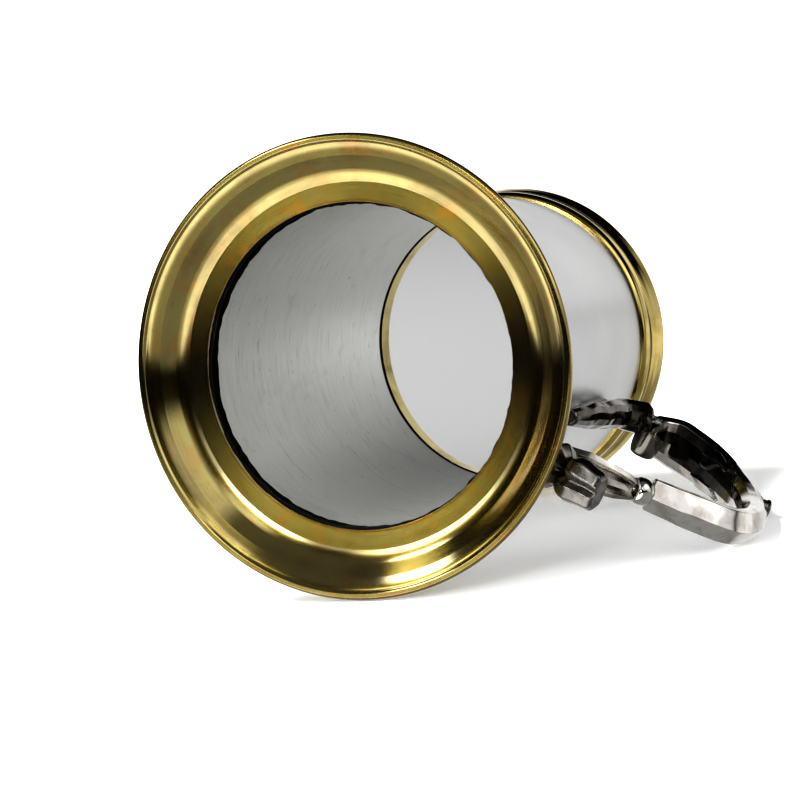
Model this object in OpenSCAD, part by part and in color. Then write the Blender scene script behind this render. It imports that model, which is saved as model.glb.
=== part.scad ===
// Pint tankard: a spun pewter barrel between a brass foot and a brass rim band, a glass base seen
// through the foot, and a cast pewter handle built up from a loop, a bracket and a lower scroll.
// Millimetres, +Z up. The origin is the centre of the foot's resting plane, the handle is on +X.

/* [Barrel] */
// Overall height from the resting plane to the top of the lip
height = 130; // [126:1:136]
// Outer radius of the barrel just above the foot
barrel_base_r = 42; // [41.8:0.1:42.4]
// Outer radius of the barrel at its top edge
barrel_top_r = 40.2; // [40:0.1:40.6]
// Wall thickness of the barrel
barrel_wall = 1.2; // [1:0.1:1.4]

/* [Foot] */
// Outer radius of the foot at its rolled edge
foot_r = 57; // [54:0.5:60]
// Radius of the opening in the foot, under the glass
foot_hole_r = 40.3; // [39.5:0.1:40.6]
// Height of the foot's inner land above the resting plane
foot_rise = 6.4; // [5.5:0.1:7]
// Thickness of the foot's brass sheet
foot_sheet = 1; // [0.8:0.1:1.2]
// Radius of the rolled edge's section
foot_bead_r = 1.15; // [1.1:0.05:1.3]
// Height of the collar that holds the barrel, above the resting plane
foot_collar_top = 15; // [14:0.5:17]

/* [Glass] */
// Thickness of the glass disc
glass_thick = 5; // [4:0.1:5.5]
// Thickness of the bedding putty over and under the glass
putty_bed = 0.4; // [0.3:0.05:0.6]

/* [Rim] */
// Outer radius of the lip
lip_r = 42.9; // [42.6:0.1:43.4]
// Inner radius of the lip, which is the mouth's
mouth_r = 38.7; // [38.4:0.1:38.9]
// Height of the rim band from its lower edge to the top of the lip
band_h = 16; // [15:0.5:18]

/* [Handle] */
// Width of the handle's arms across the tankard's handle plane
arm_w = 8.4; // [7.5:0.1:9.5]
// Thickness of the handle's arms in the handle plane
arm_t = 7.4; // [6.5:0.1:8]
// Thickness of the acanthus leaf over the upper arm
leaf_t = 1.3; // [0.8:0.1:1.6]
// Radius of the vent plug on the elbow
plug_r = 2.8; // [2.2:0.1:3.4]
// Distance that the vent plug stands out of the elbow
plug_out = 3.2; // [2:0.1:4]

/* [Hidden] */

brass = [0.72, 0.58, 0.25];
pewter = [0.74, 0.74, 0.73];
dark_pewter = [0.33, 0.32, 0.30];
putty = [0.06, 0.06, 0.06];
glass = [0.85, 0.93, 0.90, 0.35];
solder = [0.52, 0.51, 0.48];

turn_fn = 128;
tiny = 0.01;

// Stack of the glass in the barrel's rebate
land_top = foot_rise + foot_sheet;
glass_z = land_top + putty_bed;
rebate_top = glass_z + glass_thick + putty_bed;
rebate_r = barrel_base_r;
swell_r = rebate_r + barrel_wall;
glass_r = rebate_r - 0.6;

// Stack of the rim
band_z = height - band_h;
joint_h = 1.6;
barrel_top = height - 9;
lip_a = (lip_r - mouth_r) / 2;
lip_b = 2.6;
lip_mid_r = (lip_r + mouth_r) / 2;
lip_mid_z = height - lip_b;

// Solder pads between the barrel and the handle's two roots
pad_t = 0.8;

// The bracket was soldered on by hand, a little round the barrel from the handle plane
bracket_skew = -3.4;

// Outer radius of the barrel's taper at a height
function barrel_r(z) =
    barrel_base_r + (barrel_top_r - barrel_base_r) * (z - foot_collar_top) / (barrel_top - foot_collar_top);

// Points on an ellipse from angle a0 to angle a1
function arc(c, rx, ry, a0, a1, n = 12) =
    [for (i = [0:n]) let (a = a0 + (a1 - a0) * i / n) [c.x + rx * cos(a), c.y + ry * sin(a)]];

// Catmull-Rom curve through the rows of a list, at parameter s from 0 to the last row's index
function row(p, i) = p[min(max(i, 0), len(p) - 1)];
function blend4(a, b, c, d, t) =
    0.5 * (2 * b + (c - a) * t + (2 * a - 5 * b + 4 * c - d) * t * t + (3 * b - a - 3 * c + d) * t * t * t);
function curve(p, s) =
    let (i = min(floor(s), len(p) - 2))
    blend4(row(p, i - 1), row(p, i), row(p, i + 1), row(p, i + 2), s - i);

// Left-hand normal of that curve in the handle plane: the outer side of the loop
function unit(v) = v / norm(v);
function side(p, s) =
    let (d = unit(curve(p, s + 0.02) - curve(p, s - 0.02)))
    [-d[1], d[0]];

// One cross-section of a swept arm. Each row of the path holds [x, z, width, thickness].
// The section is a rounded form whose outer side can draw in to a ridge.
function arm_ring(p, s, sides, ridge) =
    let (c = curve(p, s), n = side(p, s))
    [for (j = [0:sides - 1])
        let (
            a = 360 * j / sides,
            narrow = cos(a) > 0 ? 1 - ridge * cos(a) : 1,
            h = c[3] / 2 * cos(a),
            y = c[2] / 2 * sin(a) * narrow
        )
        [c[0] + n[0] * h, y, c[1] + n[1] * h]];

// Skin of a list of rings with the same number of points, closed by flat caps
module skin(rings) {
    m = len(rings);
    k = len(rings[0]);
    points = [for (r = rings) each r];
    walls = [for (i = [0:m - 2], j = [0:k - 1])
        let (a = i * k + j, b = i * k + (j + 1) % k)
        each [[a, b, b + k], [a, b + k, a + k]]];
    caps = [[for (j = [k - 1:-1:0]) j], [for (j = [0:k - 1]) (m - 1) * k + j]];
    polyhedron(points, concat(walls, caps), convexity = 8);
}

module arm(p, steps, sides = 16, ridge = 0.25) {
    last = len(p) - 1;
    skin([for (i = [0:steps]) arm_ring(p, last * i / steps, sides, ridge)]);
}

module turned(points) {
    rotate_extrude($fn = turn_fn) polygon(points);
}

// The barrel's outside with the solder pads' thickness on it, for cutting the handle's roots
module barrel_envelope(grow) {
    turned([[0, 0], [barrel_r(0) + grow, 0], [barrel_r(height) + grow, height], [0, height]]);
}

// ---- vessel ----

module barrel() {
    color(pewter) turned([
        [rebate_r, land_top],
        [swell_r, land_top],
        [swell_r, foot_collar_top - 0.4],
        [barrel_r(foot_collar_top + 0.8), foot_collar_top + 0.8],
        [barrel_top_r, barrel_top],
        [barrel_top_r - barrel_wall, barrel_top],
        [barrel_r(rebate_top) - barrel_wall, rebate_top],
        [rebate_r, rebate_top]
    ]);
}

module foot() {
    bead_c = [foot_r - foot_bead_r, foot_bead_r - 0.1];
    // Half of the angle over which the bead is worn flat on the resting plane
    flat_a = acos(bead_c.y / foot_bead_r);
    crease_r = foot_hole_r + 7.9;
    underside = [
        [foot_hole_r, foot_rise],
        [crease_r - 4, foot_rise - 0.3],
        [crease_r - 0.6, foot_rise - 0.7],
        [crease_r, foot_rise - 1],
        [crease_r + 1.1, foot_rise - 2],
        [crease_r + 2.4, foot_rise - 3.3],
        [crease_r + 4, foot_rise - 4.5],
        [crease_r + 5.4, foot_rise - 5.3]
    ];
    upper = [
        [crease_r + 5.2, foot_rise - 4],
        [crease_r + 3.8, foot_rise - 3.1],
        [crease_r + 2.3, foot_rise - 1.7],
        [crease_r + 1, foot_rise],
        [crease_r - 0.3, foot_rise + 1.1],
        [crease_r - 1.4, foot_rise + 1.5]
    ];
    collar_r = swell_r + 1.1;
    collar_bead = arc([collar_r, land_top + 2.6], 1.2, 1.1, -80, 80, 8);
    color(brass) turned(concat(
        underside,
        arc(bead_c, foot_bead_r, foot_bead_r, 200, 270 - flat_a, 4),
        arc(bead_c, foot_bead_r, foot_bead_r, 270 + flat_a, 500, 20),
        upper,
        collar_bead,
        [
            [collar_r, land_top + 4.2],
            [collar_r, foot_collar_top - 0.9],
            [collar_r - 0.5, foot_collar_top - 0.4],
            [swell_r, foot_collar_top - 0.4],
            [swell_r, land_top],
            [foot_hole_r, land_top]
        ]
    ));
}

module glass_base() {
    bevel = 0.3;
    color(glass) turned([
        [0, glass_z],
        [glass_r - bevel, glass_z],
        [glass_r, glass_z + bevel],
        [glass_r, glass_z + glass_thick - bevel],
        [glass_r - bevel, glass_z + glass_thick],
        [0, glass_z + glass_thick]
    ]);
}

module putty_seal() {
    squeeze_low = foot_hole_r - 0.6;
    squeeze_top = foot_hole_r - 0.4;
    color(putty) difference() {
        turned([
            [squeeze_low, land_top],
            [rebate_r, land_top],
            [rebate_r, rebate_top],
            [squeeze_top, rebate_top],
            [squeeze_top, glass_z + glass_thick - tiny],
            [squeeze_low, glass_z + tiny]
        ]);
        glass_base();
    }
}

module rim_band() {
    cove_z = band_z + 5;
    color(brass) turned(concat(
        [
            [barrel_r(band_z), band_z],
            [barrel_r(band_z) + 0.4, band_z],
            [lip_r - 1.3, band_z + 0.3],
            [lip_r - 1, band_z + 0.8],
            [lip_r - 1, cove_z - 1],
            [lip_r - 1.3, cove_z - 0.5]
        ],
        arc([lip_r - 0.6, cove_z + 1.7], 1.4, 2, 250, 110, 8),
        arc([lip_r - 1.5, band_z + 9.7], 1, 0.9, -80, 80, 8),
        arc([lip_mid_r, lip_mid_z], lip_a, lip_b, -76, 180, 32),
        [
            [mouth_r + 0.1, barrel_top + joint_h],
            [barrel_top_r, barrel_top + joint_h],
            [barrel_top_r, barrel_top]
        ]
    ));
}

module rim_joint() {
    color(putty) turned([
        [mouth_r + 0.35, barrel_top],
        [barrel_top_r, barrel_top],
        [barrel_top_r, barrel_top + joint_h],
        [mouth_r + 0.35, barrel_top + joint_h]
    ]);
}

// ---- handle ----

// Centre lines in the handle plane. Each row holds [x, z, width, thickness].
bracket_path = [
    [41.6, 57, 5, 4],
    [42.8, 66, 6.8, 5],
    [43.8, 78, 7.8, 6],
    [45.5, 89, 8.4, 7],
    [50, 95, 9, 8]
];
loop_path = [
    [54, 97, arm_w + 2, 7],
    [60, 99.5, arm_w + 4.4, arm_t],
    [67, 96.5, arm_w + 4.2, arm_t],
    [74.5, 91, arm_w + 3.6, arm_t],
    [82.5, 82.5, arm_w + 2, arm_t],
    [90, 71, arm_w + 0.8, arm_t],
    [95, 56, arm_w + 0.4, arm_t + 0.2],
    [94.2, 42, arm_w + 0.8, arm_t + 0.2],
    [86, 35.5, arm_w + 0.8, arm_t],
    [74.5, 31, arm_w, arm_t - 0.6]
];
scroll_path = [
    [70.6, 27.5, 5.4, 4.8],
    [66, 25.6, 8, 4.8],
    [58, 23, 9, 4.8],
    [50, 22.4, 6, 4.6],
    [42, 24, 5, 4.6]
];
tail_path = [
    [42, 18.4, 7.5, 6],
    [48, 15.4, 9.4, 6],
    [54, 11, 10.4, 6],
    [60, 7.6, 11, 6],
    [67, 6, 10.4, 6.8]
];

// A stadium-shaped pad of solder on the barrel, centred at height z
module solder_pad(z, w, h) {
    color(solder) intersection() {
        difference() {
            barrel_envelope(pad_t);
            barrel_envelope(0);
        }
        translate([barrel_r(z) - 4, 0, z]) rotate([90, 0, 90]) linear_extrude(8) {
            square([w, h - w], center = true);
            for (k = [-1, 1]) translate([0, k * (h - w) / 2]) circle(d = w, $fn = 48);
        }
    }
}

module upper_solder_pad() {
    rotate([0, 0, bracket_skew]) solder_pad(74, 5.5, 26);
}

module lower_solder_pad() {
    solder_pad(20, 9, 16);
}

module handle_bracket() {
    color(dark_pewter) difference() {
        rotate([0, 0, bracket_skew]) arm(bracket_path, 24, ridge = 0.15);
        barrel_envelope(pad_t);
    }
}

// The rolled end of the loop, a domed drum across the handle plane
module handle_volute() {
    drum_r = 5.2;
    drum_w = 11.5;
    color(dark_pewter) translate([53.8, 0, 92.2]) rotate([90, 0, 0]) turned(concat(
        [[0, -drum_w / 2]],
        arc([drum_r - 2.2, -drum_w / 2 + 2.2], 2.2, 2.2, -90, 0, 6),
        arc([drum_r - 2.2, drum_w / 2 - 2.2], 2.2, 2.2, 0, 90, 6),
        [[0, drum_w / 2]]
    ));
}

module handle_loop() {
    color(dark_pewter) arm(loop_path, 64, ridge = 0.4);
}

// Acanthus leaf laid over the outer side of the loop's upper arm, with lobed edges
module handle_leaf() {
    from = 0.6;
    to = 4;
    steps = 40;
    lobes = 3.5;
    points = 12;
    rings = [for (i = [0:steps])
        let (
            f = i / steps,
            s = from + (to - from) * f,
            c = curve(loop_path, s),
            n = side(loop_path, s),
            reach = (62 + 26 * abs(sin(180 * lobes * f))) * sin(20 + 150 * (1 - f)) + 8
        )
        [for (j = [0:2 * points + 1])
            let (
                outer = j > points,
                k = outer ? 2 * points + 1 - j : j,
                a = reach * (2 * k / points - 1),
                lift = outer ? leaf_t * (0.35 + 0.65 * cos(a * 0.9)) : 0,
                h = c[3] / 2 * cos(a) + lift,
                y = (c[2] / 2 * (1 - 0.4 * max(cos(a), 0)) + lift) * sin(a)
            )
            [c[0] + n[0] * h, y, c[1] + n[1] * h]]];
    color(dark_pewter) skin(rings);
}

// Vent plug of the hollow casting: a short stud with a dished end
module handle_plug() {
    at = curve(loop_path, 4.7);
    n = side(loop_path, 4.7);
    root = at[3] / 2 - 0.6;
    color(dark_pewter)
        translate([at[0] + n[0] * root, 0, at[1] + n[1] * root])
        rotate([0, atan2(n[0], n[1]), 0])
        turned([
            [0, 0],
            [plug_r, 0],
            [plug_r, 0.9],
            [plug_r - 0.5, 1.3],
            [plug_r - 0.5, plug_out - 0.4],
            [plug_r - 0.2, plug_out],
            [plug_r - 0.2, plug_out + 0.4],
            [plug_r - 0.8, plug_out + 0.6],
            [plug_r - 1.4, plug_out - 0.2],
            [0, plug_out - 0.5]
        ]);
}

// Turned bead between the loop's lower end and the lower scroll
module handle_collar() {
    from = row(loop_path, len(loop_path) - 1);
    to = scroll_path[0];
    run = [to[0] - from[0], to[1] - from[1]];
    long = norm(run);
    color(dark_pewter)
        translate([from[0], 0, from[1]])
        rotate([0, atan2(run[0], run[1]), 0])
        turned(concat(
            [[0, 0]],
            arc([2.4, long / 2], 1.5, long / 2, -90, 90, 12),
            [[0, long]]
        ));
}

module handle_lower_scroll() {
    color(dark_pewter) difference() {
        arm(scroll_path, 24, ridge = 0.1);
        barrel_envelope(pad_t);
    }
}

module handle_tail() {
    color(dark_pewter) difference() {
        arm(tail_path, 16, sides = 8, ridge = 0.2);
        barrel_envelope(pad_t);
    }
}

barrel();
foot();
glass_base();
putty_seal();
rim_band();
rim_joint();
upper_solder_pad();
handle_bracket();
handle_volute();
handle_loop();
handle_leaf();
handle_plug();
handle_collar();
handle_lower_scroll();
handle_tail();
lower_solder_pad();
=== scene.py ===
"""Looks of the pint tankard: turned brass and pewter beside a cast pewter handle.

The camera and one of the floors are tilted so that the tankard is seen lying on its side."""

import math

import bmesh
import bpy
import numpy as np
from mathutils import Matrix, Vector, noise


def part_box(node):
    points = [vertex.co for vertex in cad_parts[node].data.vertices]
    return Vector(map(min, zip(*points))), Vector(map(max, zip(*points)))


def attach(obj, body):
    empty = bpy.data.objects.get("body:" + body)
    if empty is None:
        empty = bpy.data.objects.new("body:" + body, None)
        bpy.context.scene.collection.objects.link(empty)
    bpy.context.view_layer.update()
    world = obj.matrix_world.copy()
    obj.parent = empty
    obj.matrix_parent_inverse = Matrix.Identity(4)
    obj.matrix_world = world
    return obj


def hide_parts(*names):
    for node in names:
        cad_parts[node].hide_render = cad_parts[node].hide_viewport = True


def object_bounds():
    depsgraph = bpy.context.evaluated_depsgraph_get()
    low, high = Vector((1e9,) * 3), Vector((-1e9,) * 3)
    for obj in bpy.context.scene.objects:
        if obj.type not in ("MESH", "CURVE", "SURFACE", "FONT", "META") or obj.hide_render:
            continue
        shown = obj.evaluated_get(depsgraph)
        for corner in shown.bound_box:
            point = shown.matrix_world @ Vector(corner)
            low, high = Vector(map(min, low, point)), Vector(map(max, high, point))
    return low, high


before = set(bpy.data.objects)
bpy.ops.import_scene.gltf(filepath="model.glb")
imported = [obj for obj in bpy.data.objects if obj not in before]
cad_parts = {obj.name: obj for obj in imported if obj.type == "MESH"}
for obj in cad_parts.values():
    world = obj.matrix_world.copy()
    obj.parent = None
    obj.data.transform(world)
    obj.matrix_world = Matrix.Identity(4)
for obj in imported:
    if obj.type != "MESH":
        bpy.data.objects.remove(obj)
cad_lo, cad_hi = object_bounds()
MM = 0.001


# ---------------------------------------------------------------- sizes read from the frame

def node_points(name):
    """A CAD node's vertices in millimetres."""
    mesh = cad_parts[name].data
    flat = np.zeros(len(mesh.vertices) * 3)
    mesh.vertices.foreach_get("co", flat)
    return flat.reshape(-1, 3) / MM


def radii(name):
    """Smallest and largest distance of a turned node from the vertical axis, in millimetres."""
    r = np.hypot(*node_points(name)[:, :2].T)
    return r.min(), r.max()


def heights(name):
    lo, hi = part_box(name)
    return lo.z / MM, hi.z / MM


HEIGHT = cad_hi.z / MM
HOLE_R, FOOT_R = radii("foot")
FOOT_TOP = heights("foot")[1]
MOUTH_R, LIP_R = radii("rim_band")
BAND_Z = heights("rim_band")[0]
LAND_TOP, BARREL_TOP = heights("barrel")
SWELL_R = radii("barrel")[1]
REBATE_R = radii("putty_seal")[1]
GLASS_R = radii("glass_base")[1]
GLASS_Z, GLASS_TOP = heights("glass_base")
REBATE_TOP = heights("putty_seal")[1]
JOINT_TOP = heights("rim_joint")[1]
TOP_R = radii("rim_joint")[1]
WALL = 1.2              # thickness of the barrel
FOOT_RISE = LAND_TOP - 1.0    # underside of the foot beside its opening


def barrel_r(z):
    """Outer radius of the barrel's taper at a height."""
    return REBATE_R + (TOP_R - REBATE_R) * (z - FOOT_TOP) / (BARREL_TOP - FOOT_TOP)


# ---------------------------------------------------------------- mesh helpers

def make_object(name, verts, faces, creases=38):
    """A smooth-shaded mesh object from points in millimetres, sharp only over the given angle."""
    mesh = bpy.data.meshes.new(name)
    mesh.from_pydata([tuple(c * MM for c in v) for v in verts], [], faces)
    mesh.validate()
    mesh.shade_smooth()
    mesh.set_sharp_from_angle(angle=math.radians(creases))
    obj = bpy.data.objects.new(name, mesh)
    bpy.context.scene.collection.objects.link(obj)
    return obj


def finish_piece(obj, node, slot, *materials):
    """Gives a piece its materials, hangs it under the root body and hides the CAD node that it stands for."""
    for m in materials:
        obj.data.materials.append(m)
    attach(obj, "root")
    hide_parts(node)
    return obj


def eased(points, closed=True, rounds=3):
    """Corner-cut polygon. Each row is (x, y, e): e > 0 keeps the corner to a rounding of about that size."""
    pts = []
    count = len(points)
    for i, (x, y, e) in enumerate(points):
        p = np.array([x, y], float)
        if e <= 0 or (not closed and i in (0, count - 1)):
            pts.append(p)
            continue
        for other in (points[i - 1], points[(i + 1) % count]):
            d = np.array(other[:2], float) - p
            reach = min(e, 0.4 * np.linalg.norm(d)) / max(np.linalg.norm(d), 1e-9)
            pts.append(p + d * reach)
            if other is points[i - 1]:
                pts.append(p)
    for _ in range(rounds):
        nxt = []
        last = len(pts) if closed else len(pts) - 1
        if not closed:
            nxt.append(pts[0])
        for i in range(last):
            a, b = pts[i], pts[(i + 1) % len(pts)]
            nxt += [0.75 * a + 0.25 * b, 0.25 * a + 0.75 * b]
        if not closed:
            nxt.append(pts[-1])
        pts = nxt
    return pts


def lathe(name, profile, segments=256, wobble=None, rounds=3):
    """A closed (r, z) profile turned about the vertical axis. wobble(angle, r, z) may shift a point."""
    ring = eased(profile, rounds=rounds)
    k = len(ring)
    verts, faces = [], []
    for i in range(segments):
        a = 2 * math.pi * i / segments
        for r, z in ring:
            if wobble:
                r, z = wobble(a, r, z)
            z = max(z, 0.0)
            verts.append((r * math.cos(a), r * math.sin(a), z))
    for i in range(segments):
        n = (i + 1) % segments
        for j in range(k):
            m = (j + 1) % k
            faces.append((i * k + j, n * k + j, n * k + m, i * k + m))
    obj = make_object(name, verts, faces)
    outward(obj)
    return obj


def outward(obj):
    """Turns all faces outward."""
    bm = bmesh.new()
    bm.from_mesh(obj.data)
    bmesh.ops.recalc_face_normals(bm, faces=bm.faces)
    bm.to_mesh(obj.data)
    bm.free()


def catmull(rows, s):
    """Catmull-Rom value through the rows at parameter s from 0 to the last row's index."""
    i = min(int(s), len(rows) - 2)
    t = s - i
    a, b, c, d = (np.array(rows[min(max(k, 0), len(rows) - 1)], float) for k in range(i - 1, i + 3))
    square = (2 * a - 5 * b + 4 * c - d) * t * t
    cube = (3 * b - a - 3 * c + d) * t ** 3
    return 0.5 * (2 * b + (c - a) * t + square + cube)


def station(rows, s):
    """A handle path at s: its row, and its outward normal and direction in the handle plane."""
    top = len(rows) - 1
    here = catmull(rows, s)
    run = catmull(rows, min(s + 0.02, top)) - catmull(rows, max(s - 0.02, 0))
    d = run[:2] / np.linalg.norm(run[:2])
    return here, np.array([-d[1], d[0]]), d


CAP_STEPS = (0.3, 0.6, 0.85, 1.0)
ROUGH_SCALE = 0.22
BARREL_GAP = 0.05


def cap_rings(ring, outward_run, size):
    """Rings that round off an arm's end, from the arm outward."""
    ring = np.array(ring)
    push = np.array([outward_run[0], 0, outward_run[1]])
    mid = ring.mean(0)
    reach = np.abs(ring - mid).max()
    shrink = min(size, 0.8 * reach) / reach
    rings = []
    for q in CAP_STEPS:
        a = q * math.pi / 2
        rings.append(mid + (ring - mid) * (1 - shrink * (1 - math.cos(a))) + push * size * math.sin(a))
    return [list(map(tuple, r)) for r in rings]


def tube_faces(verts, rings, k):
    """Faces along rings of k points, with a fan at each end. Adds the fans' middle points to verts."""
    faces = []
    for i in range(rings - 1):
        for j in range(k):
            m = (j + 1) % k
            faces.append((i * k + j, i * k + m, (i + 1) * k + m, (i + 1) * k + j))
    for base, order in ((0, 1), ((rings - 1) * k, -1)):
        verts.append(tuple(np.mean(verts[base:base + k], axis=0)))
        for j in range(k):
            faces.append((base + j, base + (j + 1) % k, len(verts) - 1)[::order])
    return faces


def uneven(v):
    """The casting's unevenness at a point, to be scaled by its size."""
    p = Vector(v) * ROUGH_SCALE
    shifts = (Vector((0, 0, 0)), Vector((7, 0, 0)), Vector((0, 9, 0)))
    return np.array([noise.noise(p + shift) for shift in shifts])


def sweep(name, rows, section, steps, cap=(0.8, 0.8), fit=False, skew=0.0, rough=0.0, relief=None):
    """A cast arm along a path of rows [x, z, width, thickness] in the handle plane.

    section(f, w, t) gives (y, h) points across the path. Both ends close with a small rounded cap.
    fit keeps the arm on the barrel's outside, skew turns it round the barrel by that many degrees,
    rough is the casting's unevenness, and relief(f, q, side) raises the surface."""
    top = len(rows) - 1
    rings = []
    for i in range(steps + 1):
        f = i / steps
        here, n, _ = station(rows, top * f)
        ring = section(f, here[2], here[3])
        if relief:
            ring = [raised(y, h, relief(f, *around(j, len(ring)))) for j, (y, h) in enumerate(ring)]
        rings.append([(here[0] + n[0] * h, y, here[1] + n[1] * h) for y, h in ring])
    first = cap_rings(rings[0], -station(rows, 0)[2], cap[0])
    last = cap_rings(rings[-1], station(rows, top)[2], cap[1])
    rings = first[::-1] + rings + last
    verts = [v for ring in rings for v in ring]
    faces = tube_faces(verts, len(rings), len(rings[0]))
    verts = np.array(verts, float)
    if rough:
        for i, v in enumerate(verts):
            verts[i] = v + rough * uneven(v)
    if skew:
        c, s = math.cos(math.radians(skew)), math.sin(math.radians(skew))
        verts[:, :2] = verts[:, :2] @ np.array([[c, s], [-s, c]])
    if fit:
        rad = np.hypot(verts[:, 0], verts[:, 1])
        keep = np.maximum(rad, [barrel_r(z) + BARREL_GAP for z in verts[:, 2]])
        verts[:, :2] *= (keep / rad)[:, None]
    obj = make_object(name, verts, faces)
    outward(obj)
    return obj


def around(j, count):
    """Where a ring's point lies: q from 0 on the outer middle to 1 on the inner middle, and its side."""
    return 1 - abs(2 * j / count - 1), 1 if 2 * j < count else -1


def raised(y, h, lift):
    """A section's point moved outward."""
    size = math.hypot(y, h)
    return y * (1 + lift / size), h * (1 + lift / size)


def section_of(points, rounds):
    """section(f, w, t) from half an outline, from the outer middle to the inner middle.

    points(f) gives its rows (y, h, e), in half-widths and half-thicknesses."""
    def section(f, w, t):
        half = points(f)
        full = list(half) + [(-y, h, e) for y, h, e in reversed(half[1:-1])]
        scaled = [(y * w / 2, h * t / 2, e) for y, h, e in full]
        return [tuple(p) for p in eased(scaled, rounds=rounds)]
    return section


def mix_rows(a, b, k):
    return [tuple(x + (y - x) * k for x, y in zip(p, q)) for p, q in zip(a, b)]


def ramp(x, a, b):
    t = min(max((x - a) / (b - a), 0), 1)
    return t * t * (3 - 2 * t)


# ---------------------------------------------------------------- node helpers

class Graph:
    """A few words for building a node tree."""

    def __init__(self, owner):
        owner.use_nodes = True
        self.tree = owner.node_tree
        self.tree.nodes.clear()

    def add(self, kind, settings=None, **inputs):
        node = self.tree.nodes.new(kind)
        for key, value in (settings or {}).items():
            setattr(node, key, value)
        for key, value in inputs.items():
            self.plug(node, key, value)
        return node

    def plug(self, node, key, value):
        key = int(key[1:]) if key[0] == "i" and key[1:].isdigit() else key.replace("_", " ")
        socket = node.inputs[key]
        if isinstance(value, bpy.types.NodeSocket):
            self.tree.links.new(value, socket)
        else:
            socket.default_value = value

    def math(self, op, a, b=0.0, c=0.0, clamp=False):
        """a op b; MULTIPLY_ADD is a * b + c."""
        node = self.add("ShaderNodeMath", {"operation": op, "use_clamp": clamp}, i0=a, i1=b)
        if op == "MULTIPLY_ADD":
            self.plug(node, "i2", c)
        return node.outputs[0]

    def dot(self, vector, axis):
        node = self.add("ShaderNodeVectorMath", {"operation": "DOT_PRODUCT"}, i0=vector, i1=axis)
        return node.outputs["Value"]

    def scaled(self, vector, by):
        return self.add("ShaderNodeVectorMath", {"operation": "MULTIPLY"}, i0=vector, i1=by).outputs[0]

    def noise(self, vector, scale, detail=3.0, rough=0.5, distortion=0.0):
        return self.add("ShaderNodeTexNoise", Vector=vector, Scale=scale, Detail=detail, Roughness=rough,
                        Distortion=distortion).outputs["Fac"]

    def step(self, value, a, b, to0=0.0, to1=1.0):
        return self.add("ShaderNodeMapRange", {"interpolation_type": "SMOOTHSTEP"},
                        i0=value, i1=a, i2=b, i3=to0, i4=to1).outputs[0]

    def mix(self, fac, a, b):
        node = self.add("ShaderNodeMix", {"data_type": "RGBA"})
        self.plug(node, "i0", fac)
        self.plug(node, "i6", a)
        self.plug(node, "i7", b)
        return node.outputs[2]

    def position(self):
        """Place on the object in millimetres."""
        return self.scaled(self.add("ShaderNodeTexCoord").outputs["Object"], (1000, 1000, 1000))

    def polar(self, position):
        """Radius and height in millimetres, and the angle round the vertical axis in radians."""
        xyz = self.add("ShaderNodeSeparateXYZ", i0=position).outputs
        squares = [self.math("MULTIPLY", c, c) for c in xyz[:2]]
        r = self.math("SQRT", self.math("ADD", *squares))
        return r, xyz[2], self.math("ARCTAN2", xyz[1], xyz[0])

    def turned(self, position, along, across):
        """Texture space stretched round the axis, as a lathe's marks are, and the radius."""
        r, z, a = self.polar(position)
        c = self.math("MULTIPLY", self.math("COSINE", a), along)
        s = self.math("MULTIPLY", self.math("SINE", a), along)
        h = self.math("MULTIPLY", self.math("ADD", r, self.math("MULTIPLY", z, 0.9)), across)
        return self.add("ShaderNodeCombineXYZ", i0=c, i1=s, i2=h).outputs[0], r

    def bump(self, height, strength, distance=0.1):
        return self.add("ShaderNodeBump", Height=height, Strength=strength, Distance=distance * MM).outputs[0]

    def output(self, shader, kind="ShaderNodeOutputMaterial"):
        self.add(kind, Surface=shader)


def material(name):
    m = bpy.data.materials.new(name)
    return m, Graph(m)


def satin_brass():
    """The foot: brushed round by the lathe, so its highlights spread across the marks, and lacquered."""
    m, g = material("satin_brass")
    at = g.position()
    fine, r = g.turned(at, 1.6, 4.0)
    broad, _ = g.turned(at, 2.2, 0.35)
    lines = g.noise(fine, 1.0, 6.0, 0.65)
    streaks = g.noise(broad, 1.3, 4.0, 0.55)
    blotch = g.noise(at, 0.055, 4.0, 0.6, 0.4)
    specks = g.step(g.noise(at, 0.9, 2.0, 0.6), 0.68, 0.8)
    crease = g.step(g.math("ABSOLUTE", g.math("SUBTRACT", r, HOLE_R + 8.6)), 0.0, 1.7, 1.0, 0.0)
    edge = g.step(r, HOLE_R + 0.9, HOLE_R, 0.0, 1.0)
    tarnish = g.math("MULTIPLY", blotch, 0.75)
    for part, share in ((streaks, 0.55), (lines, 0.25), (specks, 0.25), (edge, 0.5), (crease, -0.12)):
        tarnish = g.math("ADD", tarnish, g.math("MULTIPLY", part, share))
    wear = g.step(tarnish, 0.62, 1.05)
    spots = g.noise(g.scaled(at, (0.16, 0.16, 0.3)), 1.0, 5.0, 0.65, 0.8)
    rust = g.step(g.math("ADD", spots, g.math("MULTIPLY", streaks, 0.2)), 0.60, 0.80)
    colour = g.mix(wear, (0.34, 0.28, 0.075, 1), (0.18, 0.12, 0.02, 1))
    colour = g.mix(g.math("MULTIPLY", rust, 0.6), colour, (0.38, 0.19, 0.025, 1))
    rough = g.math("MULTIPLY_ADD", lines, 0.10, g.math("MULTIPLY_ADD", wear, 0.05, 0.10))
    shader = g.add("ShaderNodeBsdfPrincipled", Base_Color=colour, Metallic=1.0, Roughness=rough,
                   Normal=g.bump(lines, 0.16, 0.05),
                   Tangent=g.add("ShaderNodeTangent", {"direction_type": "RADIAL", "axis": "Z"}).outputs[0])
    shader.inputs["Anisotropic"].default_value = 0.97
    shader.inputs["Anisotropic Rotation"].default_value = 0.25
    shader.inputs["Coat Weight"].default_value = 0.9
    shader.inputs["Coat Roughness"].default_value = 0.10
    shader.inputs["Coat IOR"].default_value = 1.8
    g.output(shader.outputs[0])
    return m


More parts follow.
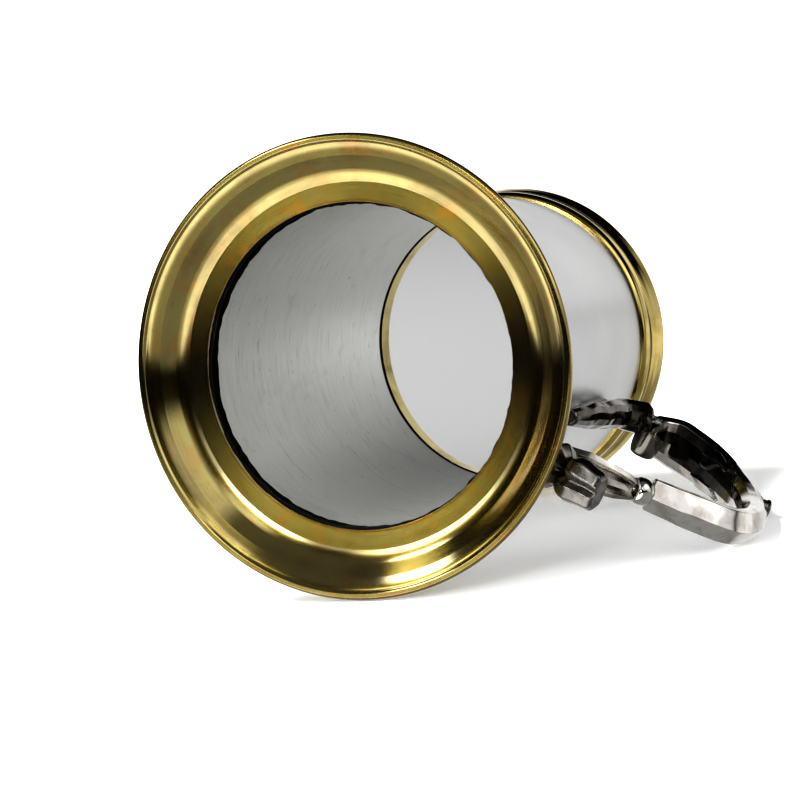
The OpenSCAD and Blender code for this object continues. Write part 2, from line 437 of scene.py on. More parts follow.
def polished_brass():
    """The rim band, rubbed bright by use."""
    m, g = material("polished_brass")
    at = g.position()
    fine, _ = g.turned(at, 1.3, 5.0)
    lines = g.noise(fine, 1.0, 5.0, 0.6)
    blotch = g.noise(at, 0.09, 3.0, 0.55, 0.3)
    wear = g.step(g.math("ADD", blotch, g.math("MULTIPLY", lines, 0.35)), 0.62, 0.9)
    colour = g.mix(wear, (0.50, 0.40, 0.15, 1), (0.32, 0.23, 0.05, 1))
    rough = g.math("MULTIPLY_ADD", wear, 0.08, g.math("MULTIPLY_ADD", lines, 0.05, 0.06))
    shader = g.add("ShaderNodeBsdfPrincipled", Base_Color=colour, Metallic=1.0, Roughness=rough,
                   Normal=g.bump(lines, 0.05, 0.03))
    shader.inputs["Coat Weight"].default_value = 0.3
    shader.inputs["Coat Roughness"].default_value = 0.05
    g.output(shader.outputs[0])
    return m


def bright_pewter():
    """The barrel's polished outside, with faint lathe lines and handling marks."""
    m, g = material("bright_pewter")
    at = g.position()
    fine, _ = g.turned(at, 1.2, 3.2)
    lines = g.noise(fine, 1.0, 5.0, 0.6)
    cloud = g.noise(at, 0.05, 3.0, 0.5)
    colour = g.mix(cloud, (0.58, 0.58, 0.575, 1), (0.50, 0.50, 0.50, 1))
    rough = g.math("MULTIPLY_ADD", lines, 0.07, g.math("MULTIPLY_ADD", cloud, 0.06, 0.24))
    shader = g.add("ShaderNodeBsdfPrincipled", Base_Color=colour, Metallic=1.0, Roughness=rough,
                   Normal=g.bump(lines, 0.05, 0.03))
    g.output(shader.outputs[0])
    return m


def brushed_pewter():
    """The barrel's inside, dull from the lathe, scratched round and pitted."""
    m, g = material("brushed_pewter")
    at = g.position()
    fine, _ = g.turned(at, 2.0, 2.6)
    long_marks, _ = g.turned(at, 3.0, 1.3)
    lines = g.noise(fine, 1.0, 6.0, 0.7)
    scratch = g.step(g.noise(long_marks, 1.3, 8.0, 0.75, 0.15), 0.58, 0.64)
    pits = g.step(g.noise(at, 0.7, 2.0, 0.5), 0.70, 0.76)
    stain = g.step(g.noise(at, 0.07, 4.0, 0.6, 0.6), 0.56, 0.72)
    dirt = g.math("ADD", g.math("MULTIPLY", scratch, 0.45), g.math("MULTIPLY", pits, 0.7), clamp=True)
    colour = g.mix(lines, (0.95, 0.95, 0.94, 1), (0.70, 0.70, 0.68, 1))
    colour = g.mix(g.math("MULTIPLY", stain, 0.30), colour, (0.50, 0.50, 0.48, 1))
    colour = g.mix(dirt, colour, (0.22, 0.22, 0.20, 1))
    rough = g.math("MULTIPLY_ADD", lines, 0.20, g.math("MULTIPLY_ADD", stain, -0.06, 0.38))
    height = g.math("SUBTRACT", lines, g.math("MULTIPLY", dirt, 1.5))
    shader = g.add("ShaderNodeBsdfPrincipled", Base_Color=colour, Metallic=1.0, Roughness=rough,
                   Normal=g.bump(height, 0.20, 0.06),
                   Tangent=g.add("ShaderNodeTangent", {"direction_type": "RADIAL", "axis": "Z"}).outputs[0])
    shader.inputs["Anisotropic"].default_value = 0.55
    shader.inputs["Anisotropic Rotation"].default_value = 0.25
    g.output(shader.outputs[0])
    return m


def clear_glass():
    """Slightly grey glass with faint smears. It lets light through to the floor without caustics."""
    m, g = material("clear_glass")
    at = g.position()
    ripple = g.noise(at, 0.05, 2.0, 0.4)
    smears = g.step(g.noise(at, 0.12, 4.0, 0.6, 0.8), 0.55, 0.8, 0.0, 0.02)
    shader = g.add("ShaderNodeBsdfPrincipled", Metallic=0.0, Roughness=smears,
                   Normal=g.bump(ripple, 0.02, 0.2))
    shader.inputs["Base Color"].default_value = (0.84, 0.85, 0.84, 1)
    shader.inputs["Transmission Weight"].default_value = 1.0
    shader.inputs["IOR"].default_value = 1.5
    clear = g.add("ShaderNodeBsdfTransparent")
    clear.inputs["Color"].default_value = (0.93, 0.95, 0.94, 1)
    shadow = g.add("ShaderNodeLightPath").outputs["Is Shadow Ray"]
    both = g.add("ShaderNodeMixShader", i0=shadow, i1=shader.outputs[0], i2=clear.outputs[0])
    g.output(both.outputs[0])
    return m


def black_putty():
    """Matt, grainy bedding compound."""
    m, g = material("black_putty")
    at = g.position()
    grain = g.noise(at, 2.2, 5.0, 0.6)
    lumps = g.noise(at, 0.5, 3.0, 0.5)
    colour = g.mix(grain, (0.004, 0.004, 0.004, 1), (0.014, 0.013, 0.012, 1))
    shader = g.add("ShaderNodeBsdfPrincipled", Base_Color=colour,
                   Roughness=g.math("MULTIPLY_ADD", grain, 0.3, 0.55),
                   Normal=g.bump(g.math("ADD", grain, lumps), 0.5, 0.3))
    shader.inputs["Specular IOR Level"].default_value = 0.12
    g.output(shader.outputs[0])
    return m


def soft_solder():
    """Dull solder with a flowed surface."""
    m, g = material("soft_solder")
    at = g.position()
    grain = g.noise(at, 1.6, 5.0, 0.6)
    flow = g.noise(at, 0.3, 2.0, 0.5)
    colour = g.mix(grain, (0.42, 0.41, 0.39, 1), (0.20, 0.19, 0.18, 1))
    shader = g.add("ShaderNodeBsdfPrincipled", Base_Color=colour, Metallic=1.0,
                   Roughness=g.math("MULTIPLY_ADD", grain, 0.25, 0.28),
                   Normal=g.bump(g.math("ADD", grain, flow), 0.35, 0.3))
    g.output(shader.outputs[0])
    return m


GRIME = (0.045, 0.032, 0.022, 1)


def cast_pewter(name, satin, pitted, light, dark):
    """Polished casting, clouded between a light and a dark tone and grimy in its hollows.

    satin raises the blur of its gloss, and pitted the number of its casting pits."""
    m, g = material(name)
    at = g.position()
    cloud = g.noise(at, 0.16, 4.0, 0.55, 0.3)
    fine = g.noise(at, 1.8, 5.0, 0.6)
    pits = g.step(g.noise(at, 1.5, 2.0, 0.5), 0.80 - 0.1 * pitted, 0.86 - 0.1 * pitted)
    hollow = g.step(g.add("ShaderNodeNewGeometry").outputs["Pointiness"], 0.485, 0.44)
    grime = g.math("ADD", g.math("MULTIPLY", hollow, 0.85), g.math("MULTIPLY", pits, 0.8), clamp=True)
    colour = g.mix(g.step(cloud, 0.4, 0.65), light, dark)
    colour = g.mix(grime, colour, GRIME)
    rough = g.math("MULTIPLY_ADD", grime, 0.25, 0.06 + 0.2 * satin)
    rough = g.math("MULTIPLY_ADD", fine, 0.07 + 0.10 * satin, rough)
    height = g.math("SUBTRACT", g.math("MULTIPLY", fine, 0.25), g.math("MULTIPLY", pits, 0.6))
    shader = g.add("ShaderNodeBsdfPrincipled", Base_Color=colour, Metallic=1.0, Roughness=rough,
                   Normal=g.bump(height, 0.14, 0.08))
    g.output(shader.outputs[0])
    return m


# ---------------------------------------------------------------- turned pieces

BRASS = satin_brass()
RIM_BRASS = polished_brass()
OUTSIDE = bright_pewter()
INSIDE = brushed_pewter()
PUTTY = black_putty()
CAST = cast_pewter("cast_pewter", 0.0, 0.5, (0.60, 0.58, 0.55, 1), (0.44, 0.41, 0.37, 1))
# Painted shade: the tail and plug are painted much darker than pewter, as the shade they lie in.
CAST_SATIN_PAINTED_SHADE = cast_pewter("cast_pewter_satin_painted_shade", 0.7, 0.8, (0.21, 0.195, 0.18, 1), (0.105, 0.095, 0.085, 1))
# Painted shade: the lower scroll's pewter is painted darker, as the shade it lies in.
CAST_PAINTED_SHADE = cast_pewter("cast_pewter_painted_shade", 0.3, 0.6, (0.38, 0.36, 0.33, 1), (0.22, 0.20, 0.18, 1))
CAST_WORN = cast_pewter("cast_pewter_worn", 1.5, 0.6, (0.66, 0.64, 0.60, 1), (0.46, 0.43, 0.39, 1))
# Dark pewter: real tarnish on the bracket and volute, and on the loop's inner side a painted dark reflection
# as well.
CAST_DARK = cast_pewter("cast_pewter_tarnish_and_painted_reflection", 0.1, 0.8, (0.15, 0.14, 0.125, 1), (0.055, 0.047, 0.04, 1))

crease_r = HOLE_R + 7.9     # where the foot's flat land turns into its ogee
collar_r = SWELL_R + 1.1    # outside of the foot's collar round the barrel
bead_r = 1.15               # rolled edge of the foot
bead = (FOOT_R - bead_r, bead_r - 0.1)


def arc(c, rx, ry, a0, a1, n, e=0.0):
    """Rows (x, y, e) on an ellipse."""
    return [(c[0] + rx * math.cos(math.radians(a0 + (a1 - a0) * i / n)),
             c[1] + ry * math.sin(math.radians(a0 + (a1 - a0) * i / n)), e) for i in range(n + 1)]


foot_profile = [
    (HOLE_R, FOOT_RISE - 0.30, 0.18),
    (crease_r - 5.2, FOOT_RISE - 0.33, 0),
    (crease_r - 3.0, FOOT_RISE - 0.38, 0.1),
    (crease_r - 2.0, FOOT_RISE - 0.58, 0),
    (crease_r - 1.0, FOOT_RISE - 0.94, 0),
    (crease_r, FOOT_RISE - 1.48, 0),
    (crease_r + 0.4, FOOT_RISE - 1.76, 0),
    (crease_r + 2.0, FOOT_RISE - 3.06, 0),
    (crease_r + 3.4, FOOT_RISE - 4.16, 0),
    (crease_r + 3.6, FOOT_RISE - 4.28, 0.1),
    (crease_r + 5.6, FOOT_RISE - 5.52, 0),
    *arc(bead, bead_r, bead_r, 205, 270, 3),
    *arc(bead, bead_r, bead_r, 290, 500, 9),
    (crease_r + 5.2, FOOT_RISE - 4.1, 0),
    (crease_r + 3.8, FOOT_RISE - 3.1, 0),
    (crease_r + 2.3, FOOT_RISE - 1.7, 0),
    (crease_r + 1, FOOT_RISE, 0),
    (crease_r - 0.3, FOOT_RISE + 1.1, 0),
    (crease_r - 1.4, FOOT_RISE + 1.5, 0.15),
    *arc((collar_r, LAND_TOP + 2.6), 1.2, 1.1, -80, 80, 6),
    (collar_r, LAND_TOP + 4.2, 0.2),
    (collar_r, FOOT_TOP - 0.9, 0.2),
    (collar_r - 0.5, FOOT_TOP - 0.15, 0.15),
    (SWELL_R + 0.02, FOOT_TOP, 0.1),
    (SWELL_R + 0.02, LAND_TOP, 0.1),
    (HOLE_R, LAND_TOP, 0.1),
]
foot = lathe("Foot", foot_profile, 320)
finish_piece(foot, "foot", "brass_foot", BRASS)

barrel_profile = [
    (REBATE_R, LAND_TOP, 0.1),
    (SWELL_R, LAND_TOP, 0.1),
    (SWELL_R, FOOT_TOP, 0.3),
    (barrel_r(FOOT_TOP + 1.2), FOOT_TOP + 1.2, 0.3),
    (barrel_r(60), 60, 0),
    (TOP_R, BARREL_TOP, 0.1),
    (TOP_R - WALL, BARREL_TOP, 0.1),
    (barrel_r(60) - WALL, 60, 0),
    (barrel_r(REBATE_TOP) - WALL, REBATE_TOP, 0.1),
    (REBATE_R, REBATE_TOP, 0.1),
]
barrel = lathe("Barrel", barrel_profile, 256)
finish_piece(barrel, "barrel", "pewter_barrel", OUTSIDE, INSIDE)
for face in barrel.data.polygons:
    c, n = face.center, face.normal
    face.material_index = 1 if c.x * n.x + c.y * n.y < 0 else 0


def ragged(angle, r, z):
    """The putty's squeezed-out edge is uneven round the glass."""
    if r > HOLE_R + 0.4:
        return r, z
    p = Vector((math.cos(angle) * 5, math.sin(angle) * 5, z * 0.25))
    bite = noise.noise(p) * 0.5 + noise.noise(p * 3.7) * 0.28 + noise.noise(p * 9.0) * 0.12
    return r + bite, z


squeeze = HOLE_R - 0.55
putty = lathe("PuttySeal", [
    (squeeze + 0.2, LAND_TOP + 0.02, 0.12),
    (REBATE_R - 0.05, LAND_TOP + 0.02, 0.1),
    (REBATE_R - 0.05, REBATE_TOP, 0.1),
    (squeeze + 0.2, REBATE_TOP, 0.12),
    (squeeze + 0.05, GLASS_TOP + 0.03, 0.05),
    (GLASS_R, GLASS_TOP + 0.03, 0.05),
    (GLASS_R, GLASS_Z - 0.03, 0.05),
    (squeeze, GLASS_Z - 0.03, 0.05),
], 360, ragged, 2)
finish_piece(putty, "putty_seal", "black_putty", PUTTY)

lip = ((LIP_R + MOUTH_R) / 2, HEIGHT - 2.6)
rim_profile = [
    (barrel_r(BAND_Z) + 0.03, BAND_Z, 0.05),
    (barrel_r(BAND_Z) + 0.5, BAND_Z, 0.1),
    *arc((LIP_R - 2.9, BAND_Z + 3.4), 2.0, 3.05, -86, 0, 7),
    (LIP_R - 1.0, BAND_Z + 4.1, 0.2),
    (LIP_R - 1.5, BAND_Z + 4.5, 0.15),
    *arc((LIP_R - 1.5, BAND_Z + 5.3), 0.75, 0.7, -80, 80, 5),
    (LIP_R - 1.6, BAND_Z + 6.15, 0.15),
    *arc((LIP_R - 1.65, BAND_Z + 6.8), 0.5, 0.5, -80, 80, 4),
    (LIP_R - 1.8, BAND_Z + 7.5, 0.15),
    (LIP_R - 1.4, BAND_Z + 8.7, 0),
    (LIP_R - 0.7, BAND_Z + 10.0, 0),
    *arc(lip, (LIP_R - MOUTH_R) / 2, 2.6, -22, 175, 16),
    (MOUTH_R + 0.1, JOINT_TOP, 0.15),
    (TOP_R, JOINT_TOP, 0.1),
    (TOP_R + 0.03, BARREL_TOP, 0.1),
]
rim = lathe("RimBand", rim_profile, 288)
finish_piece(rim, "rim_band", "brass_rim", RIM_BRASS)


def squeezed(angle, r, z):
    """The joint's inner edge is uneven."""
    if r >= MOUTH_R + 1:
        return r, z
    return r + 0.12 * noise.noise(Vector((math.cos(angle) * 6, math.sin(angle) * 6, 3))), z


joint = lathe("RimJoint", [
    (MOUTH_R + 0.4, BARREL_TOP + 0.02, 0.1),
    (TOP_R - 0.04, BARREL_TOP + 0.02, 0.1),
    (TOP_R - 0.04, JOINT_TOP - 0.02, 0.1),
    (MOUTH_R + 0.4, JOINT_TOP - 0.02, 0.1),
], 240, squeezed)
finish_piece(joint, "rim_joint", "black_putty", PUTTY)

CARRIED_OVER = (("glass_base", clear_glass), ("upper_solder_pad", soft_solder),
                ("lower_solder_pad", soft_solder))
for node, make in CARRIED_OVER:
    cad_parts[node].data.materials.clear()
    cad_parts[node].data.materials.append(make())

# ---------------------------------------------------------------- handle
# Centre lines in the handle plane, as in the design: [x, z, width, thickness] in millimetres

ARM_W, ARM_T = 8.4, 7.4
ARM_STEPS = 420
BRACKET = [[41.6, 57, 4.6, 4], [42.6, 64, 6.2, 5.0], [43.1, 69, 7.6, 4.8], [43.8, 74.5, 7.0, 6.0],
           [44.3, 79.5, 8.0, 5.6], [45.0, 85, 7.6, 6.6], [45.8, 89.5, 8.4, 6.4], [50, 95, 9, 8]]
LOOP = [
    [54, 97, ARM_W + 2, 7], [60, 99.5, ARM_W + 4.4, ARM_T], [67, 96.5, ARM_W + 4.2, ARM_T],
    [74.5, 91, ARM_W + 3.6, ARM_T], [82.5, 82.5, ARM_W + 2, ARM_T], [90, 71, ARM_W + 0.8, ARM_T],
    [95, 56, ARM_W + 0.4, ARM_T + 0.2], [94.2, 42, ARM_W + 0.8, ARM_T + 0.2],
    [86, 35.5, ARM_W + 0.8, ARM_T], [74.5, 31, ARM_W, ARM_T - 0.6]]
SCROLL = [[70.6, 27.5, 5.4, 4.8], [66, 25.6, 8, 4.8], [58, 23, 9, 4.8], [50, 22.4, 6, 4.6],
          [42, 24, 5, 4.6]]
TAIL = [[42, 18.4, 7.5, 6], [48, 15.4, 9.4, 6], [54, 11, 10.4, 6], [60, 7.6, 11, 6], [67, 6, 10.4, 6.8]]

# Half outlines for section_of
CONVEX_ARM = [(0, 1.0, 0), (0.50, 0.90, 0), (0.88, 0.52, 0), (1.02, 0.0, 0), (0.88, -0.52, 0),
              (0.50, -0.90, 0), (0, -1.04, 0)]
RIDGED_ARM = [(0, 1.0, 0.25), (0.485, 0.65, 0), (0.97, 0.30, 0.4), (1.0, 0.0, 0.3), (0.95, -0.36, 0.4),
              (0.62, -0.92, 0.5), (0, -1.0, 0)]
TROUGH = [(0, -0.35, 0), (0.34, -0.10, 0), (0.70, 0.95, 0.25), (1.0, 0.62, 0.3), (0.85, -0.55, 0.3),
          (0, -1.0, 0)]
FACETS = [(0, 0.95, 0.8), (0.70, 0.8, 0.9), (1.0, 0.05, 0.8), (0.84, -0.72, 0.7), (0.30, -0.98, 0.7),
          (0, -0.62, 0.6)]


def arm_outline(f):
    """Rounded under the leaf, then ridged along the outside between flat facets as far as the collar."""
    return mix_rows(CONVEX_ARM, RIDGED_ARM, ramp(f, 0.60, 0.78))


def sheath_edge(q, side):
    """Where the leaf sheath round the upper arm ends before the elbow, raggedly."""
    return 0.40 + 0.28 * max(q - 0.5, -0.2) + 0.018 * noise.noise(Vector((q * 9, side * 3, 1)))


def arm_relief(f, q, side):
    """Leaf sheath round the upper arm with a pointed lobe on each flank.
    q runs from 0 on the outer middle to 1 on the inner middle."""
    edge = sheath_edge(q, side)
    lift = 0.30 * (1 - ramp(f, edge, edge + 0.009))
    along = (f - 0.36) / 0.075
    half = 0.13 * (1 - along * along) * (1 - 0.45 * along) if abs(along) < 1 else 0
    if half > 0:
        across = abs(q - 0.79 + 0.05 * along) / half
        lift += 0.5 * ramp(across, 1.0, 0.75) * (1 - 0.6 * ramp(across, 0.4, 0.0))
    return lift


def tail_relief(f, q, side):
    """Rolled ridge across the tail between two creases, running a little aslant."""
    at = f + 0.05 * side * (1 - q)
    waves = ((0.53, 0.055, 1.3), (0.66, 0.045, -1.1), (0.40, 0.05, -1.0), (0.80, 0.07, 0.5))
    return sum(lift * math.exp(-((at - middle) / width) ** 2) for middle, width, lift in waves)


def even(points):
    """The outline with every corner treated alike, so that all rings have the same number of points."""
    def rows(f):
        return [(y, h, max(e, 0.02)) for y, h, e in (points(f) if callable(points) else points)]
    return rows


arm_section = section_of(even(arm_outline), 4)
loop = sweep("HandleLoop", LOOP, arm_section, ARM_STEPS, cap=(1.2, 0.6), rough=0.10, relief=arm_relief)
finish_piece(loop, "handle_loop", "dark_pewter", CAST, CAST_DARK)
ring_size = len(arm_section(0, ARM_W, ARM_T))
# The loop's inner side under the sheath, wider on the -Y half, gets the dark pewter: tarnish and a painted
# dark reflection.
for i, face in enumerate(loop.data.polygons):
    f, j = (i // ring_size - len(CAP_STEPS)) / ARM_STEPS, i % ring_size
    q, side = around(j + 0.5, ring_size)
    inside = q > 0.69 if side < 0 else q > 0.84
    face.material_index = 1 if inside and f < sheath_edge(q, side) else 0

BRACKET_SKEW = -3.4
bracket = sweep("HandleBracket", BRACKET, section_of(even(CONVEX_ARM), 3), 120, cap=(1.0, 1.4), fit=True,
                skew=BRACKET_SKEW, rough=0.18)
finish_piece(bracket, "handle_bracket", "dark_pewter", CAST_DARK)

scroll = sweep("HandleLowerScroll", SCROLL, section_of(even(TROUGH), 3), 90, cap=(0.8, 0.4), fit=True,
               rough=0.25)
finish_piece(scroll, "handle_lower_scroll", "dark_pewter", CAST_PAINTED_SHADE)

tail = sweep("HandleTail", TAIL, section_of(even(FACETS), 3), 160, cap=(0.8, 1.8), fit=True, rough=0.2,
             relief=tail_relief)
finish_piece(tail, "handle_tail", "dark_pewter", CAST_SATIN_PAINTED_SHADE)


def lathe_on(name, origin, axis, rows):
    """A turned piece about any axis. rows are (r, along, e)."""
    obj = lathe(name, rows, 96)
    turn = Vector((0, 0, 1)).rotation_difference(Vector(axis).normalized()).to_matrix().to_4x4()
    turn.translation = Vector(origin) * MM
    obj.data.transform(turn)
    return obj


end, start = LOOP[-1], SCROLL[0]
run = Vector((start[0] - end[0], 0, start[1] - end[1]))
long = run.length
collar = lathe_on("HandleCollar", (end[0], 0, end[1]), run, [
    (0.02, 0.0, 0), (2.9, 0.0, 0.2), *arc((2.6, long / 2), 1.0, long * 0.42, -80, 80, 7),
    (2.9, long, 0.2), (0.02, long, 0)])
finish_piece(collar, "handle_collar", "dark_pewter", CAST)

PLUG_AT, PLUG_SUNK = 4.7, 0.6
here, n, _ = station(LOOP, PLUG_AT)
plug_root = here[:2] + n * (here[3] / 2 - PLUG_SUNK)
plug = lathe_on("HandlePlug", (plug_root[0], 0, plug_root[1]), (n[0], 0, n[1]), [
    (0.02, 0, 0), (2.8, 0, 0.2), (2.8, 0.9, 0.25), (2.3, 1.3, 0.25), (2.3, 2.8, 0.2), (2.6, 3.2, 0.2),
    (2.6, 3.6, 0.25), (2.0, 3.8, 0.3), (1.4, 3.0, 0.3), (0.02, 2.7, 0)])
finish_piece(plug, "handle_plug", "dark_pewter", CAST_SATIN_PAINTED_SHADE)


VOLUTE_X, VOLUTE_Z = 53.8, 92.2


def volute_piece():
    """The loop's rolled end: a strap wound one and a half turns about an axis across the handle."""
    steps, k = 150, 20
    verts, faces = [], []
    for i in range(steps + 1):
        f = i / steps
        a = math.radians(95 - 560 * f)
        radius = 3.6 * (1 - f) + 1.1 * f
        thick = 2.8 * (1 - f) + 1.5 * f
        wide = 11.4 * (1 - 0.06 * f)
        for j in range(k):
            b = 2 * math.pi * j / k
            r = radius + thick / 2 * math.cos(b)
            verts.append((VOLUTE_X + r * math.cos(a), wide / 2 * math.sin(b), VOLUTE_Z + r * math.sin(a)))
    for i in range(steps):
        for j in range(k):
            m = (j + 1) % k
            faces.append((i * k + j, i * k + m, (i + 1) * k + m, (i + 1) * k + j))
    for base, order in ((0, 1), (steps * k, -1)):
        faces.append(tuple(range(base, base + k))[::order])
    obj = make_object("HandleVolute", verts, faces, 50)
    outward(obj)
    return obj


volute = volute_piece()
core_long = 10.4
core = lathe_on("VoluteCore", (VOLUTE_X, -core_long / 2, VOLUTE_Z), (0, 1, 0), [
    (0.02, 0, 0), (2.2, 0, 0.6), (3.2, 1.0, 0), (3.2, core_long - 1.0, 0), (2.2, core_long, 0.6),
    (0.02, core_long, 0)])
finish_piece(volute, "handle_volute", "dark_pewter", CAST_DARK)
finish_piece(core, "handle_volute", "dark_pewter", CAST_DARK)


LEAF_FIRST, LEAF_LAST = 0.5, 4.15
LEAF_LOBES = 4.0
LEAF_STEPS, LEAF_ACROSS = 150, 41
LEAF_THICK, LEAF_SUNK = 0.95, 0.5


def leaf_lift(f, u, lobe):
    """How far the leaf's face stands off the arm at f along it and u from -1 to 1 across it."""
    rib = math.exp(-(u / 0.09) ** 2) * 0.55
    vein_at = LEAF_LOBES * f + 0.55 * abs(u)
    vein = 0.20 * math.cos(2 * math.pi * vein_at) * min(1, 3 * abs(u)) * (1 - 0.4 * abs(u))
    curl = 0.35 * abs(u) ** 5 * lobe
    return (LEAF_THICK + rib + vein + curl) * (1 - abs(u) ** 3)


def leaf_piece():
    """Acanthus leaf over the loop's upper arm: a midrib, side veins to each lobe, and curled tips."""
    steps, k = LEAF_STEPS, LEAF_ACROSS
    verts = []
    for face_side in (False, True):
        for i in range(steps + 1):
            f = i / steps
            here, n, _ = station(LOOP, LEAF_FIRST + (LEAF_LAST - LEAF_FIRST) * f)
            taper = math.sin(math.radians(22 + 148 * (1 - f)))
            lobe = abs(math.sin(math.pi * LEAF_LOBES * f))
            reach = 12 + (40 + 12 * lobe) * taper
            for j in range(k):
                u = 2 * j / (k - 1) - 1
                a = math.radians(reach * u)
                lift = leaf_lift(f, u, lobe) if face_side else -LEAF_SUNK
                y = math.sin(a) * (here[2] / 2 + lift)
                h = math.cos(a) * (here[3] / 2 + lift)
                verts.append((here[0] + n[0] * h, y, here[1] + n[1] * h))
    rows, half = steps + 1, (steps + 1) * k
    faces = []
    for i in range(rows - 1):
        for j in range(k - 1):
            q = (i * k + j, i * k + j + 1, (i + 1) * k + j + 1, (i + 1) * k + j)
            faces += [q[::-1], tuple(half + p for p in q)]
        for j in (0, k - 1):
            q = (i * k + j, (i + 1) * k + j, half + (i + 1) * k + j, half + i * k + j)
            faces.append(q if j == 0 else q[::-1])
    for i in (0, rows - 1):
        for j in range(k - 1):
            q = (i * k + j, i * k + j + 1, half + i * k + j + 1, half + i * k + j)
            faces.append(q if i == 0 else q[::-1])
    obj = make_object("HandleLeaf", verts, faces, 60)
    outward(obj)
    return obj


leaf = leaf_piece()
finish_piece(leaf, "handle_leaf", "dark_pewter", CAST_WORN)

# ---------------------------------------------------------------- camera

# Degrees, millimetres and the lens's focal length on a 36 mm sensor
CAMERA_AZIMUTH, CAMERA_ELEVATION, CAMERA_ROLL = 52.894, -68.352, -78.661
CAMERA_DISTANCE, CAMERA_LENS = 732.32, 130.6
AIM = Vector((6.114, 8.083, 29.605))


def aim_camera():
    """Sets the scene's camera and gives the direction that it looks in."""
    a, e, roll = (math.radians(d) for d in (CAMERA_AZIMUTH, CAMERA_ELEVATION, CAMERA_ROLL))
    back = Vector((math.sin(a) * math.cos(e), -math.cos(a) * math.cos(e), math.sin(e)))
    level_right = Vector((0, 0, 1)).cross(back).normalized()
    level_up = back.cross(level_right)
    up = level_up * math.cos(roll) + level_right * math.sin(roll)
    right = up.cross(back)
    cam = bpy.data.objects.new("Camera", bpy.data.cameras.new("Camera"))
    bpy.context.scene.collection.objects.link(cam)
    m = cam.matrix_world.to_3x3()
    for row in range(3):
        m[row][0], m[row][1], m[row][2] = right[row], up[row], back[row]
    cam.matrix_world = m.to_4x4()
    cam.location = (AIM + back * CAMERA_DISTANCE) * MM
    cam.data.lens = CAMERA_LENS
    cam.data.sensor_width = 36
    cam.data.clip_start, cam.data.clip_end = 0.01, 20
    bpy.context.scene.camera = cam
    return -back


forward = aim_camera()

# ---------------------------------------------------------------- stage

# The direction that is down while the tankard lies on its foot's edge and its handle
FLOOR_AZIMUTH, FLOOR_TILT = 60.35, 6.36
FLOOR_WHITE = (0.9, 0.9, 0.9, 1)
FLOOR_SEEN_BY_LIGHT = (0.24, 0.24, 0.24, 1)
LYING_HALF, LYING_GLOW = 600, 0.22
UPRIGHT_HALF, UPRIGHT_GLOW = 900, 0.5
a, t = math.radians(FLOOR_AZIMUTH), math.radians(FLOOR_TILT)
down = Vector((math.cos(a) * math.cos(t), math.sin(a) * math.cos(t), math.sin(t)))
rest = max(float((node_points(name) @ np.array(down)).max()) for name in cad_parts)
away = (forward - down * forward.dot(down)).normalized()
sideways = away.cross(-down)


def one_sided(name, glow):
    """Pale matt floor, clear from behind. glow is light of its own that only the camera sees.

    Glossy rays pass through it, so that polished metal mirrors the room below instead."""
    m, g = material(name)
    at = g.position()
    shade = tuple(c * 0.985 for c in FLOOR_WHITE[:3]) + (1,)
    tone = g.mix(g.noise(at, 0.02, 3.0, 0.5), FLOOR_WHITE, shade)
    path = g.add("ShaderNodeLightPath").outputs
    seen = path["Is Camera Ray"]
    not_through_glass = g.math("SUBTRACT", 1.0, path["Is Transmission Ray"])
    mirrored = g.math("MULTIPLY", path["Is Glossy Ray"], not_through_glass)
    matt = g.add("ShaderNodeBsdfDiffuse", Color=g.mix(seen, FLOOR_SEEN_BY_LIGHT, tone), Roughness=1.0)
    lit = g.add("ShaderNodeEmission", Color=tone, Strength=g.math("MULTIPLY", seen, glow))
    both = g.add("ShaderNodeAddShader", i0=matt.outputs[0], i1=lit.outputs[0])
    back = g.add("ShaderNodeNewGeometry").outputs["Backfacing"]
    clear = g.add("ShaderNodeBsdfTransparent")
    g.output(g.add("ShaderNodeMixShader", i0=g.math("MAXIMUM", back, mirrored), i1=both.outputs[0],
                   i2=clear.outputs[0]).outputs[0])
    return m


def floor_plane(name, centre, across, along, half, mat):
    """A square floor, half being half its side."""
    signs = ((-1, -1), (1, -1), (1, 1), (-1, 1))
    corners = [centre + across * sx * half + along * sy * half for sx, sy in signs]
    obj = make_object(name, corners, [(0, 1, 2, 3)])
    obj.data.materials.append(mat)
    return obj


lying = floor_plane("FloorLying", down * rest + away * 430, sideways, away, LYING_HALF,
                    one_sided("floor_lying", LYING_GLOW))
if lying.data.polygons[0].normal.dot(down) > 0:
    lying.data.flip_normals()
upright = floor_plane("FloorUpright", Vector((0, 0, -0.02)), Vector((1, 0, 0)), Vector((0, 1, 0)),
                      UPRIGHT_HALF, one_sided("floor_upright", UPRIGHT_GLOW))
upright.visible_diffuse = upright.visible_glossy = False
upright.visible_transmission = upright.visible_shadow = False

# ---------------------------------------------------------------- room

# Directions are (up, back, right) of the lying tankard's stage.
# Zones are a brightness and limits: (component, where it is none, where it is full).
UP, BACK, RIGHT = range(3)
DARK = 0.006
BACKDROP = (0.85, (BACK, 0.45, 0.65), (UP, 0.46, 0.30), (UP, -0.06, 0.02))
FLOOR_ZONE = (0.36, (UP, 0.02, -0.08))
FLOOR_BEHIND = (0.70, (UP, 0.02, -0.06), (BACK, 0.3, 0.6))
CEILING = (0.16, (UP, 0.5, 0.8), (BACK, 0.35, -0.2))
WINDOW_BAND = (1.7, (UP, 0.15, 0.22), (UP, 0.42, 0.30), (BACK, -0.30, -0.5), (RIGHT, -0.25, -0.45))
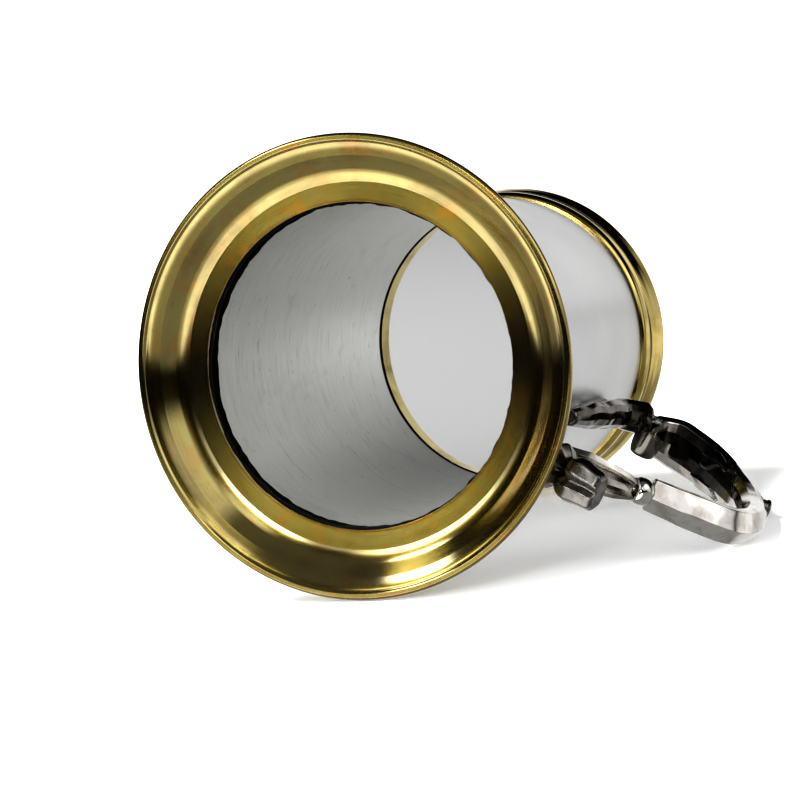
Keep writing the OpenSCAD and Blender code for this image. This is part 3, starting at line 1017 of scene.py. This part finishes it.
# Boxes are a direction, the degrees where they begin and end to fade, and a brightness
LIT_FLOOR = ((0.056, -0.727, -0.683), 40, 56, 2.2)
LIT_FLOOR_EDGE = (UP, 0.0, -0.04)
SOFTBOXES = (
    ((0.74, -0.10, -0.66), 5, 10, 9.0),
    ((0.62, -0.78, -0.12), 5, 12, 1.6),
    ((0.62, -0.42, 0.64), 12, 22, 1.2),
    ((0.53, -0.75, 0.39), 13, 24, 1.0),
    ((0.25, -0.50, 0.80), 8, 22, 0.8),
    ((-0.05, 0.20, 0.98), 12, 30, 0.7),
    ((0.36, -0.80, -0.46), 4, 8, 10.0),
    ((0.42, -0.52, -0.76), 7, 12, 5.0),
)


def room():
    """White to the camera. To everything else a dark studio with a bright backdrop, floor and softboxes."""
    world = bpy.data.worlds.new("Studio")
    bpy.context.scene.world = world
    g = Graph(world)
    to = g.add("ShaderNodeTexCoord").outputs["Generated"]
    axes = (-down, away, sideways)
    components = [g.dot(to, tuple(v)) for v in axes]

    def limit(component, none, full):
        return g.step(components[component], none, full)

    def zone(brightness, *limits):
        value = brightness
        for each in limits:
            value = g.math("MULTIPLY", limit(*each), value)
        return value

    def box(direction, inner, outer, brightness):
        d = (-down * direction[UP] + away * direction[BACK] + sideways * direction[RIGHT]).normalized()
        edges = (math.cos(math.radians(outer)), math.cos(math.radians(inner)))
        return g.math("MULTIPLY", g.step(g.dot(to, tuple(d)), *edges), brightness)

    level = g.math("ADD", zone(*BACKDROP), DARK)
    lit_floor = g.math("MULTIPLY", box(*LIT_FLOOR), limit(*LIT_FLOOR_EDGE))
    for value in (zone(*FLOOR_ZONE), zone(*FLOOR_BEHIND), lit_floor, zone(*CEILING), zone(*WINDOW_BAND)):
        level = g.math("MAXIMUM", level, value)
    for light in SOFTBOXES:
        level = g.math("ADD", level, box(*light))
    camera_ray = g.add("ShaderNodeLightPath").outputs["Is Camera Ray"]
    shown = g.math("MAXIMUM", level, camera_ray)
    background = g.add("ShaderNodeBackground", Color=(1, 1, 1, 1), Strength=shown)
    g.output(background.outputs[0], "ShaderNodeOutputWorld")


KEY_ENERGY = 34.0
KEY_SIDE = 0.42
KEY_DISTANCE = 1.1


def key_light():
    """Large soft light from above and the left. It shapes the shadow, and metal doesn't mirror it."""
    data = bpy.data.lights.new("Key", "AREA")
    data.shape, data.size, data.energy = "SQUARE", KEY_SIDE, KEY_ENERGY
    obj = bpy.data.objects.new("Key", data)
    bpy.context.scene.collection.objects.link(obj)
    d = (-down * 0.80 + away * 0.12 - sideways * 0.58).normalized()
    obj.location = d * KEY_DISTANCE
    obj.rotation_mode = "QUATERNION"
    obj.rotation_quaternion = d.to_track_quat("Z", "Y")
    obj.visible_glossy = obj.visible_transmission = obj.visible_camera = False


key_light()
room()
bpy.context.scene.view_settings.view_transform = "Standard"
bpy.context.scene.view_settings.look = "High Contrast"
